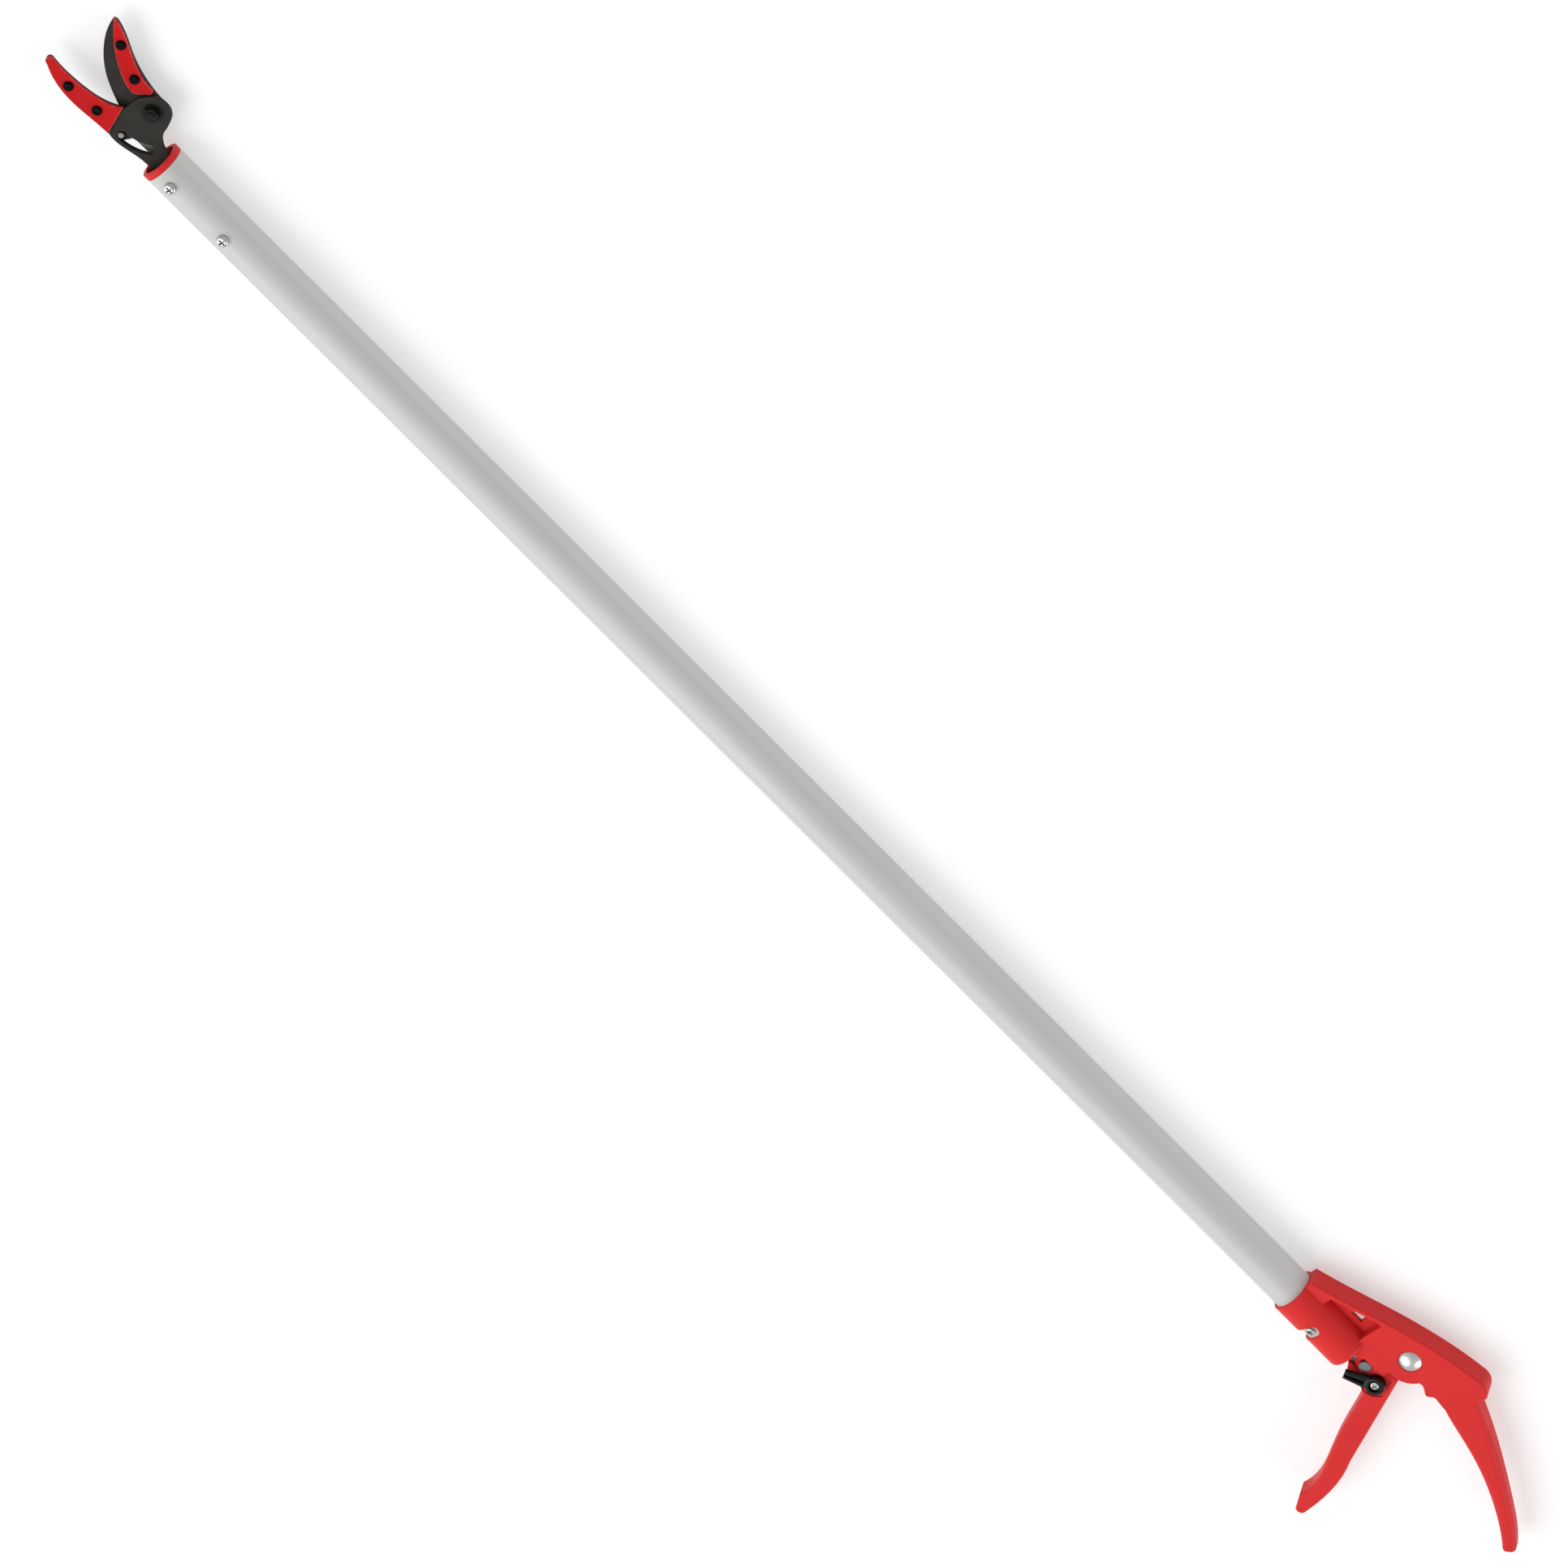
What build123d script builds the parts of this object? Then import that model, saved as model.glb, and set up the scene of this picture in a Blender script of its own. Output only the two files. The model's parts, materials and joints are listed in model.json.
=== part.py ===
from build123d import *
import math
import os

# Long-reach cut-and-hold pruner, lying on its side.
# Everything is drawn in the tube frame, in mm: x runs along the tube's axis from the
# handle's socket mouth (x = 0) towards the blades, +y is the trigger side, -y the
# handle's back, and z is the thickness direction of the blades.
# base_shift() then puts the origin under the middle of the whole tool.

# Fits
RUNNING_FIT = 0.05
LAYER_GAP = 0.3

# Tube
TUBE_R = 12.5
TUBE_WALL = 1.5
TUBE_BORE_R = TUBE_R - TUBE_WALL
TUBE_IN_SOCKET = 46.0
TUBE_FRONT = 930.3
INSERT_R = TUBE_BORE_R - RUNNING_FIT

# Collar at the tube's front end
COLLAR_LENGTH = 3.8
COLLAR_SPIGOT = 5.3
COLLAR_OPENING_R = 10.2
COLLAR_ROUND = 0.5

# Jaw head. Head outlines are drawn from the blade pivot: u along +x, v along +y.
PIVOT_X = 958.5
PIVOT_Y = -19.1
BODY_BACK = -1.8
BODY_FRONT = 1.2
BODY_BOSS_R = 10.0
TANG_HALF = 7.3
TANG_REAR_U = 90.5
HOOK_TOP = [(13.3, 12.9), (21.8, 17.7), (36.8, 21.1), (51.8, 21.8), (58.6, 21.2)]
HOOK_BOTTOM = [(57.3, 25.4), (47.3, 28.9), (34.8, 30.6), (17.3, 29.4), (5.9, 29.6)]

# Blade, in the layer behind the jaw, and its pivot
BLADE_THICK = 2.2
BLADE_FRONT = BODY_BACK - LAYER_GAP
BLADE_BACK = BLADE_FRONT - BLADE_THICK
BLADE_LAND = 0.5
BEVEL_SHIFT = (-1.8, -3.1)
BLADE_HUB_R = 8.0
BLADE_TRAVEL = 42.0
BLADE_TIP = (55.8, -25.3)
BLADE_SPINE = [(0.0, -BLADE_HUB_R), (10.9, -9.0), (30.9, -15.2), (49.0, -23.8)]
BLADE_EDGE = [(54.0, -19.4), (46.2, -6.9), (31.3, 5.9), (16.0, 13.1), (9.0, 15.9)]
PIVOT_SHAFT_R = 3.0
BOLT_HEAD_R = 5.0
BOLT_HEAD_H = 2.2
NUT_FLANGE_R = 5.6
NUT_FLANGE_H = 1.1
NUT_ACROSS_FLATS = 8.6
NUT_H = 4.0

# Grip plates on the jaw and the blade
GRIP_PLATE = 1.5
LOWER_PLATE_TOP = [(12.6, 10.2), (16.8, 14.0), (26.8, 17.8), (41.8, 20.3), (58.4, 19.8)]
LOWER_PLATE_BOTTOM = [(58.3, 25.0), (47.3, 29.4), (34.8, 31.1), (17.3, 29.9), (5.9, 29.1)]
UPPER_PLATE_TOP = [(10.9, -9.2), (30.9, -15.2), (49.0, -23.8), (55.7, -25.5)]
UPPER_PLATE_BOTTOM = [(55.7, -25.5), (46.3, -15.5), (36.3, -7.7), (23.3, -0.8), (16.6, 0.9)]
UPPER_PLATE_SWEEP_R = 19.5
LOWER_SCREWS = [(20.2, 23.4), (41.0, 25.3)]
UPPER_SCREWS = [(20.8, -6.5), (41.1, -16.2)]

# Tail pin and its arc slot
TAIL_R = 25.3
TAIL_PIN_R = 2.0
TAIL_LOBE_R = 4.6
SLOT_INNER_R = 21.4
SLOT_OUTER_R = 27.9
SLOT_HALF = (SLOT_OUTER_R - SLOT_INNER_R) / 2
SLOT_MIDDLE_R = (SLOT_OUTER_R + SLOT_INNER_R) / 2
SLOT_END_GAP = 0.3

# Screws
HEAD_ROUND_SHARE = 0.6
PLATE_SCREW_HEAD_R = 3.0
PLATE_SCREW_HEAD_H = 1.5
PLATE_SCREW_SHANK_R = 1.5
TUBE_SCREW_X = (921.0, 879.0)
TUBE_SCREW_HEAD_R = 3.5
TUBE_SCREW_HEAD_H = 2.4
TUBE_SCREW_SHANK_R = 2.0
SOCKET_SCREW_X = -21.6
SOCKET_SCREW_DEG = 14.0
SOCKET_SCREW_HEAD_R = 2.8
SOCKET_SCREW_HEAD_H = 1.8
SOCKET_SCREW_SHANK_R = 1.5
SOCKET_SCREW_LENGTH = 6.0

# Pull rod: round, with a step down so that its front end runs under the tang
ROD_R = 2.5
ROD_FIT = 0.1
ROD_DROP = 4.8
ROD_REAR = -36.0
ROD_FRONT = 925.0
ROD_STEP_REAR = 824.0
ROD_STEP_FRONT = 846.0
ROD_STEP_LEAD = 10.0
ROD_STEP_BEND_R = 12.0

# Flat link between the rod's front end and the tail pin
LINK_TOP = BLADE_BACK - LAYER_GAP
LINK_THICK = 1.7
LINK_REAR = 912.0
LINK_HALF_LOW = 3.0
LINK_HALF_HIGH = 4.8
LINK_CORNER_R = 1.2
LINK_RIVET_X = 918.0
LINK_RIVET_R = 1.0
LINK_SLOT_X = PIVOT_X - 0.3
LINK_SLOT_HALF = 2.65
LINK_SLOT_END_GAP = 0.4
LINK_SLOT_LOW = PIVOT_Y + TAIL_R * math.cos(math.radians(BLADE_TRAVEL)) - TAIL_PIN_R - LINK_SLOT_END_GAP
LINK_SLOT_HIGH = PIVOT_Y + TAIL_R + TAIL_PIN_R + LINK_SLOT_END_GAP
LINK_SLOT_RIM = 3.0

# Plug in the tube's front end that holds the tang
PLUG_FRONT = TUBE_FRONT - COLLAR_SPIGOT - 0.2
PLUG_REAR = 862.0
PLUG_GUIDE = 10.0
PLUG_SIDE_GAP = 1.0
TANG_END_GAP = 0.2

# Return spring between the bush in the tube's rear end and a collar on the rod
BUSH_LENGTH = 20.0
SPRING_REAR = -12.0
SPRING_FREE = 50.0
SPRING_MEAN_R = 6.0
SPRING_WIRE_R = 0.6
SPRING_PITCH = 5.0
SPRING_REST_GAP = 0.1
SPRING_COLLAR_R = 8.5
SPRING_COLLAR_LENGTH = 5.0

# Handle
SOCKET_R = 14.3
SOCKET_LENGTH = 50.0
SOCKET_ROUND = 3.0
SOCKET_END_BORE_R = 8.2
CHEEK_HALF = 7.5
CHEEK_SLOT_HALF = 4.35
TRIGGER_PIVOT_X = -73.0
TRIGGER_PIVOT_Y = -26.5
LOWER_ARC_R = 15.4
SPINE_ROUND = 1.2
SPINE_LIMIT_Y = -30.0
HANDLE_BACK = [(0.4, -17.3), (-21.5, -24.9), (-46.5, -34.4), (-81.5, -45.4), (-106.5, -50.3)]
HEEL_X = -119.3
HEEL_ROUND = 5.0
POCKET_FLOOR = 1.4
POCKET = [(-14.0, -12.0), (-14.0, -18.6), (-41.0, -29.6), (-45.0, -29.6), (-45.0, -8.0)]
WINDOW = [(-30.4, -20.0), (-38.4, -23.6), (-38.4, -18.0), (-30.9, -18.0)]
GRIP_END_ROUND = 2.4
# Grip sections: centre x and y, slope in degrees, half height, half width, corner radius
GRIP_STATIONS = [
    (-110.0, -30.5, 15.0, 10.4, 7.45, 2.0),
    (-133.3, -21.6, 21.0, 8.8, 7.3, 3.2),
    (-153.3, -13.4, 24.5, 6.9, 7.0, 4.0),
    (-173.3, -3.4, 28.7, 5.4, 6.6, 4.0),
    (-193.3, 8.5, 34.0, 4.6, 6.1, 3.4),
    (-208.3, 20.4, 40.0, 3.9, 5.4, 2.8),
]

# Pin that the trigger swings on, with a domed head and a cap on the hidden side
TRIGGER_PIN_R = 3.0
DOME_R = 6.9
DOME_H = 3.4
DOME_SEAT = 0.4
DOME_SEAT_GAP = 0.3
CAP_R = 6.0
CAP_H = 1.6
CAP_BOSS_H = 1.2
CAP_ROUND = 0.9

# Trigger
TRIGGER_HALF = 7.2
TRIGGER_HEAD_HALF = 4.0
TRIGGER_HUB_R = 9.0
TRIGGER_HUB_GAP = 0.7
TRIGGER_TOP_R = 15.9
TRIGGER_ROUND = 1.9
TRIGGER_EYE_R = 6.2
FORK_R = 10.2
FORK_HALF = 1.5

# Pin between the trigger and the rod, and the rod's rear eye around it
ROD_PIN_X = -61.0
ROD_PIN_Y = -2.0
ROD_PIN_R = 2.5
ROD_PIN_HEAD_R = 3.7
ROD_PIN_RELIEF_GAP = 0.15
CLIP_R = 3.6
CLIP_H = 1.2
CLIP_TAIL = 0.4
REAR_TAB_HALF = 1.2
REAR_SLOT_HALF = 2.8
REAR_SLOT_END_GAP = 0.3
REAR_SLOT_LOW = ROD_PIN_Y - ROD_PIN_R - REAR_SLOT_END_GAP
REAR_SLOT_HIGH = 0.8 + ROD_PIN_R + REAR_SLOT_END_GAP
REAR_EYE_LENGTH = 11.2
REAR_EYE_RIM = 3.0
REAR_EYE_ROUND = 2.5

# Lock lever
LOCK_X = -73.0
LOCK_Y = 0.5
LOCK_ANGLE = 30.0
LOCK_REACH = 18.9
LOCK_TOP = 11.2
LOCK_BOSS_R = 5.9
LOCK_BOSS_ROUND = 0.8
LOCK_SEAT_DEPTH = 0.9
LOCK_SEAT_GAP = 0.1
LOCK_SEAT_RIM = 4.0
LOCK_ARM_GAP = 0.35
LOCK_ARM_DROP = 0.4
LOCK_ARM_BEVEL = 0.9
LOCK_GROOVE_DEPTH = 1.6
LOCK_WELL_R = 3.8
LOCK_FLOOR = 9.2
LOCK_SCREW_HEAD_R = 2.7
LOCK_SCREW_HEAD_H = 1.3
LOCK_SCREW_SHANK_R = 1.6
LOCK_SCREW_LENGTH = 7.6


def prism(face, low, high):
    """The flat outline lifted to z = low and thickened up to z = high."""
    return extrude(Pos(0, 0, low) * face, amount=high - low, dir=(0, 0, 1))


def disc(radius, low, high, x=0.0, y=0.0):
    """Upright cylinder between two heights."""
    return Pos(x, y, low) * Cylinder(radius, high - low, align=(Align.CENTER, Align.CENTER, Align.MIN))


def bar(radius, start_x, end_x, z=0.0):
    """Cylinder along the tube's direction."""
    middle = (start_x + end_x) / 2
    return Pos(middle, 0, z) * Rot(0, 90, 0) * Cylinder(radius, abs(end_x - start_x))


def block(x0, x1, y0, y1, z0, z1):
    """Box from its two corners."""
    return Pos((x0 + x1) / 2, (y0 + y1) / 2, (z0 + z1) / 2) * Box(x1 - x0, y1 - y0, z1 - z0)


def outline(*edges):
    """Closed flat face from edges given end to end."""
    return make_face(Curve() + list(edges))


def arc_slot(inner_r, outer_r, start_deg, end_deg):
    """Flat ring sector with round ends, about the origin."""
    middle_r = (inner_r + outer_r) / 2
    half_width = (outer_r - inner_r) / 2
    path = CenterArc((0, 0), middle_r, start_deg, end_deg - start_deg)
    sector = Circle(outer_r) - Circle(inner_r)
    reach = 3 * outer_r
    wedge = Polygon(
        (0, 0),
        (reach * math.cos(math.radians(start_deg)), reach * math.sin(math.radians(start_deg))),
        (reach * math.cos(math.radians(end_deg)), reach * math.sin(math.radians(end_deg))),
        align=None,
    )
    ends = [Pos((path @ t).X, (path @ t).Y) * Circle(half_width) for t in (0, 1)]
    return (sector & wedge) + ends


def at_pivot(shape):
    """Head outline moved from the blade pivot into the tube frame."""
    return Pos(PIVOT_X, PIVOT_Y) * shape


def drive_recess(width, depth, top):
    """Cross recess of a screw head whose top is at z = top."""
    arm = Box(width, width / 4.5, depth, align=(Align.CENTER, Align.CENTER, Align.MAX))
    return Pos(0, 0, top) * (arm + Rot(0, 0, 90) * arm)


def pan_screw(head_r, head_h, shank_r, shank_length):
    """Pan head screw standing on z = 0, shank down."""
    head = disc(head_r, 0, head_h)
    head = fillet(head.edges().group_by(Axis.Z)[-1], head_h * HEAD_ROUND_SHARE)
    head -= drive_recess(head_r * 1.25, head_h * 0.75, head_h)
    return head + disc(shank_r, -shank_length, 0)


# --- Tube and front collar ---


def tube():
    body = bar(TUBE_R, -TUBE_IN_SOCKET, TUBE_FRONT) - bar(TUBE_BORE_R, -TUBE_IN_SOCKET, TUBE_FRONT)
    for x in TUBE_SCREW_X:
        body -= disc(TUBE_SCREW_SHANK_R, 0, 2 * TUBE_R, x)
    body -= socket_screw_place() * disc(SOCKET_SCREW_SHANK_R, 0, 2 * TUBE_R)
    return body


def end_collar():
    flange = bar(TUBE_R, TUBE_FRONT, TUBE_FRONT + COLLAR_LENGTH)
    flange = fillet(flange.edges(), COLLAR_ROUND)
    spigot = bar(INSERT_R, TUBE_FRONT - COLLAR_SPIGOT, TUBE_FRONT + 1)
    opening = bar(COLLAR_OPENING_R, TUBE_FRONT - COLLAR_SPIGOT, TUBE_FRONT + COLLAR_LENGTH)
    return flange + spigot - opening


def tang_plug():
    """Insert that holds the tang and leaves a channel for the rod under it."""
    plug = bar(INSERT_R, PLUG_REAR, PLUG_FRONT)
    tang_end = PIVOT_X - TANG_REAR_U - TANG_END_GAP
    plug -= block(tang_end, PLUG_FRONT, -TANG_HALF, TANG_HALF, BODY_BACK, BODY_FRONT)
    channel_low = -LINK_HALF_LOW - PLUG_SIDE_GAP
    channel_high = LINK_HALF_HIGH + PLUG_SIDE_GAP
    plug -= block(PLUG_REAR + PLUG_GUIDE, PLUG_FRONT, channel_low, channel_high, -TUBE_R, BODY_BACK)
    plug -= bar(ROD_R + ROD_FIT, PLUG_REAR, PLUG_REAR + PLUG_GUIDE, -ROD_DROP)
    for x in TUBE_SCREW_X:
        plug -= disc(TUBE_SCREW_SHANK_R, BODY_FRONT, TUBE_R, x)
    return plug


def tube_screws():
    depth = TUBE_R - BODY_BACK
    screw = pan_screw(TUBE_SCREW_HEAD_R, TUBE_SCREW_HEAD_H, TUBE_SCREW_SHANK_R, depth)
    return [Pos(x, 0, TUBE_R) * screw for x in TUBE_SCREW_X]


# --- Jaw head ---


def slot_angles():
    """Directions of the slot's two round ends, so that the tail pin just clears both."""
    reach = math.sqrt((SLOT_HALF - TAIL_PIN_R - SLOT_END_GAP) ** 2 - (TAIL_R - SLOT_MIDDLE_R) ** 2)
    over = math.degrees(reach / SLOT_MIDDLE_R)
    return 90 + over, 90 + BLADE_TRAVEL - over


def jaw_outline():
    """Fixed jaw and its neck, up to the tang."""
    neck_low = TANG_HALF - PIVOT_Y
    neck_high = -TANG_HALF - PIVOT_Y
    top = Spline(*HOOK_TOP)
    tip = ThreePointArc(HOOK_TOP[-1], (60.7, 23.0), HOOK_BOTTOM[0])
    bottom = Spline(*HOOK_BOTTOM)
    belly = Spline(HOOK_BOTTOM[-1], (-1.2, 30.2), (-11.0, 28.2), (-22.0, neck_low))
    under = Line((-22.0, neck_low), (-TANG_REAR_U, neck_low))
    end = Line((-TANG_REAR_U, neck_low), (-TANG_REAR_U, neck_high))
    over = Line((-TANG_REAR_U, neck_high), (-22.0, neck_high))
    shoulder = Spline((-22.0, neck_high), (-17.6, 9.6), (-14.2, 6.0), (-12.4, 1.0), (-10.5, -3.8))
    crown = ThreePointArc((-10.5, -3.8), (-6.0, -9.0), (0.0, -BODY_BOSS_R))
    boss = ThreePointArc((0.0, -BODY_BOSS_R), (5.36, -8.44), (8.98, -4.4))
    front = Polyline((8.98, -4.4), (11.2, 0.0), (11.2, 10.6), HOOK_TOP[0])
    return outline(top, tip, bottom, belly, under, end, over, shoulder, crown, boss, front)


def jaw_body():
    body = prism(jaw_outline(), BODY_BACK, BODY_FRONT)
    body -= disc(PIVOT_SHAFT_R + RUNNING_FIT, BODY_BACK, BODY_FRONT)
    start, end = slot_angles()
    body -= prism(arc_slot(SLOT_INNER_R, SLOT_OUTER_R, start, end), BODY_BACK, BODY_FRONT)
    for u, v in LOWER_SCREWS:
        body -= disc(PLATE_SCREW_SHANK_R, BODY_BACK, BODY_FRONT, u, v)
    body -= grip_rebate()
    body = at_pivot(body)
    for x in TUBE_SCREW_X:
        body -= disc(TUBE_SCREW_SHANK_R, BODY_BACK, BODY_FRONT, x)
    return body


def grip_rebate():
    """Room behind the jaw for the corner of the upper grip plate as the blade shuts."""
    ring = Circle(UPPER_PLATE_SWEEP_R) - Circle(BODY_BOSS_R + 0.2)
    wedge = Polygon((0, 0), (60, -28), (40, 50), align=None)
    return prism(ring & wedge, BODY_BACK, BLADE_FRONT + GRIP_PLATE + LAYER_GAP)


def lower_plate_outline():
    tip = ThreePointArc(LOWER_PLATE_TOP[-1], (60.9, 22.3), LOWER_PLATE_BOTTOM[0])
    end = Line(LOWER_PLATE_BOTTOM[-1], LOWER_PLATE_TOP[0])
    return outline(Spline(*LOWER_PLATE_TOP), tip, Spline(*LOWER_PLATE_BOTTOM), end)


def lower_grip_plate():
    plate = prism(lower_plate_outline(), BODY_FRONT, BODY_FRONT + GRIP_PLATE)
    for u, v in LOWER_SCREWS:
        plate -= disc(PLATE_SCREW_SHANK_R, BODY_FRONT, BODY_FRONT + GRIP_PLATE, u, v)
    return at_pivot(plate)


def plate_screws(places, seat, back):
    screw = pan_screw(PLATE_SCREW_HEAD_R, PLATE_SCREW_HEAD_H, PLATE_SCREW_SHANK_R, seat - back)
    return [at_pivot(Pos(u, v, seat) * screw) for u, v in places]


def blade_outline():
    spine = Spline(*BLADE_SPINE, BLADE_TIP)
    edge = Spline(BLADE_TIP, *BLADE_EDGE)
    root = Polyline(BLADE_EDGE[-1], (-2, 20), BLADE_SPINE[0])
    leaf = outline(spine, edge, root)
    hub = Circle(BLADE_HUB_R).edge()
    lobe = (Pos(0, TAIL_R) * Circle(TAIL_LOBE_R)).edge()
    return leaf + make_hull([hub, lobe])


def bevel_cutter():
    """Wedge that grinds the blade's back face down to a thin cutting edge."""
    edge = [Vector(*point) for point in (BLADE_TIP, *BLADE_EDGE)]
    ground = [point + Vector(*BEVEL_SHIFT) for point in edge]
    faces = []
    for points, z in ((edge, BLADE_FRONT - BLADE_LAND), (ground, BLADE_BACK)):
        outside = Polyline(points[-1], (points[-1].X, 30), (60, 30), (70, -20), points[0])
        faces.append(Pos(0, 0, z) * outline(Spline(*points), outside))
    return loft(faces, ruled=True)


def blade():
    body = prism(blade_outline(), BLADE_BACK, BLADE_FRONT)
    body -= bevel_cutter()
    body -= disc(PIVOT_SHAFT_R + RUNNING_FIT, BLADE_BACK, BLADE_FRONT)
    body -= disc(TAIL_PIN_R, BLADE_BACK, BLADE_FRONT, 0, TAIL_R)
    for u, v in UPPER_SCREWS:
        body -= disc(PLATE_SCREW_SHANK_R, BLADE_BACK, BLADE_FRONT, u, v)
    return at_pivot(body)


def upper_grip_plate():
    end = Spline(UPPER_PLATE_BOTTOM[-1], (14.0, 0.1), (12.0, -1.9), (9.6, -5.2))
    corner = Spline((9.6, -5.2), (8.3, -7.4), (8.9, -8.9), UPPER_PLATE_TOP[0])
    face = outline(Spline(*UPPER_PLATE_TOP), Spline(*UPPER_PLATE_BOTTOM), end, corner)
    plate = prism(face, BLADE_FRONT, BLADE_FRONT + GRIP_PLATE)
    for u, v in UPPER_SCREWS:
        plate -= disc(PLATE_SCREW_SHANK_R, BLADE_FRONT, BLADE_FRONT + GRIP_PLATE, u, v)
    return at_pivot(plate)


def pivot_bolt():
    shaft = disc(PIVOT_SHAFT_R, BLADE_BACK, BODY_FRONT + NUT_H + 0.9)
    shaft = chamfer(shaft.edges().group_by(Axis.Z)[-1], 0.5)
    head = disc(BOLT_HEAD_R, BLADE_BACK - BOLT_HEAD_H, BLADE_BACK)
    head = fillet(head.edges().group_by(Axis.Z)[0], 1.2)
    return at_pivot(shaft + head)


def pivot_nut():
    flange = disc(NUT_FLANGE_R, BODY_FRONT, BODY_FRONT + NUT_FLANGE_H)
    hexagon = RegularPolygon(NUT_ACROSS_FLATS / 2, 6, major_radius=False)
    nut = flange + prism(hexagon, BODY_FRONT, BODY_FRONT + NUT_H)
    crown = Cone(
        NUT_ACROSS_FLATS, NUT_ACROSS_FLATS * 0.42, NUT_H + 0.5, align=(Align.CENTER, Align.CENTER, Align.MIN)
    )
    nut &= Pos(0, 0, BODY_FRONT) * crown
    return at_pivot(nut - disc(PIVOT_SHAFT_R, BODY_FRONT, BODY_FRONT + NUT_H))


def tail_pin():
    pin = disc(TAIL_PIN_R, LINK_TOP - LINK_THICK - 0.9, BODY_FRONT - 0.1)
    pin = chamfer(pin.edges().group_by(Axis.Z)[-1], 0.4)
    return at_pivot(Pos(0, TAIL_R) * pin)


# --- Pull rod ---


def crosswise_slot(x, low, high, half_width):
    """Flat slot across the tool between y = low and y = high."""
    return Pos(x, (low + high) / 2) * Rot(0, 0, 90) * SlotOverall(high - low, 2 * half_width)


def blade_link():
    """Flat end of the rod, with a crosswise slot for the tail pin."""
    front = LINK_SLOT_X + 5.6
    shoulder = LINK_SLOT_X - 4.6
    neck = LINK_SLOT_X - 6.8
    low = LINK_SLOT_LOW - LINK_SLOT_RIM
    high = LINK_SLOT_HIGH + LINK_SLOT_RIM
    face = Polygon(
        (front, low),
        (front, high),
        (shoulder, high),
        (neck, LINK_HALF_HIGH),
        (LINK_REAR, LINK_HALF_HIGH),
        (LINK_REAR, -LINK_HALF_LOW),
        (neck, -LINK_HALF_LOW),
        (shoulder, low),
        align=None,
    )
    face = fillet(face.vertices(), LINK_CORNER_R)
    face -= crosswise_slot(LINK_SLOT_X, LINK_SLOT_LOW, LINK_SLOT_HIGH, LINK_SLOT_HALF)
    link = prism(face, LINK_TOP - LINK_THICK, LINK_TOP)
    return link - disc(LINK_RIVET_R, -TUBE_R, 0, LINK_RIVET_X)


def rod_step():
    """Bent stretch of the rod from the tube's axis down to the level of the link."""
    path = FilletPolyline(
        (ROD_STEP_REAR - ROD_STEP_LEAD, 0, 0),
        (ROD_STEP_REAR, 0, 0),
        (ROD_STEP_FRONT, 0, -ROD_DROP),
        (ROD_STEP_FRONT + ROD_STEP_LEAD, 0, -ROD_DROP),
        radius=ROD_STEP_BEND_R,
    )
    return sweep(Plane(origin=path @ 0, z_dir=path % 0) * Circle(ROD_R), path=path)


def rod_eye():
    """Flat rear eye of the rod, with a crosswise slot for the pin in the trigger."""
    length = REAR_SLOT_HIGH - REAR_SLOT_LOW + 2 * REAR_EYE_RIM
    eye = RectangleRounded(REAR_EYE_LENGTH, length, REAR_EYE_ROUND)
    face = Pos(ROD_PIN_X, (REAR_SLOT_LOW + REAR_SLOT_HIGH) / 2) * eye
    shank_rear = ROD_PIN_X + REAR_SLOT_HALF
    shank_front = ROD_REAR + 2.0
    face += Pos((shank_rear + shank_front) / 2, 0) * Rectangle(shank_front - shank_rear, 2 * ROD_R)
    face -= crosswise_slot(ROD_PIN_X, REAR_SLOT_LOW, REAR_SLOT_HIGH, REAR_SLOT_HALF)
    return prism(face, -REAR_TAB_HALF, REAR_TAB_HALF)


def pull_rod():
    """Round rod with a slit front end for the link, a step and a flat rear eye."""
    front = bar(ROD_R, ROD_STEP_FRONT + ROD_STEP_LEAD, ROD_FRONT, -ROD_DROP)
    front -= block(LINK_REAR - ROD_FIT, ROD_FRONT, -ROD_R, ROD_R, LINK_TOP - LINK_THICK, LINK_TOP)
    front -= disc(LINK_RIVET_R, -TUBE_R, 0, LINK_RIVET_X)
    long_part = bar(ROD_R, ROD_REAR, ROD_STEP_REAR - ROD_STEP_LEAD)
    return long_part + rod_step() + front + rod_eye()


def link_rivet():
    half = ROD_R - 0.15
    return disc(LINK_RIVET_R, -ROD_DROP - half, -ROD_DROP + half, LINK_RIVET_X)


def rear_bush():
    """Guide for the rod in the tube's rear end; the spring bears on it."""
    rear = SPRING_REAR - BUSH_LENGTH
    bush = bar(INSERT_R, rear, SPRING_REAR) - bar(ROD_R + ROD_FIT, rear, SPRING_REAR)
    return bush - socket_screw_place() * disc(SOCKET_SCREW_SHANK_R, 0, TUBE_R)


def return_spring():
    height = SPRING_FREE - 2 * SPRING_WIRE_R
    path = Helix(SPRING_PITCH, height, SPRING_MEAN_R)
    section = Plane(origin=path @ 0, z_dir=path % 0) * Circle(SPRING_WIRE_R)
    coil = sweep(section, path=path, is_frenet=True)
    return Pos(SPRING_REAR + SPRING_WIRE_R + SPRING_REST_GAP, 0, 0) * Rot(0, 90, 0) * coil


def spring_collar():
    start = SPRING_REAR + SPRING_FREE + 2 * SPRING_REST_GAP
    end = start + SPRING_COLLAR_LENGTH
    return bar(SPRING_COLLAR_R, start, end) - bar(ROD_R, start, end)


def socket_screw_place():
    """Frame of the screw that holds the tube in the socket: its z points out of the tube."""
    return Pos(SOCKET_SCREW_X, 0, 0) * Rot(-SOCKET_SCREW_DEG, 0, 0)


def socket_screw():
    screw = pan_screw(SOCKET_SCREW_HEAD_R, SOCKET_SCREW_HEAD_H, SOCKET_SCREW_SHANK_R, SOCKET_SCREW_LENGTH)
    return socket_screw_place() * Pos(0, 0, TUBE_R) * screw


# --- Handle ---


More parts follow.
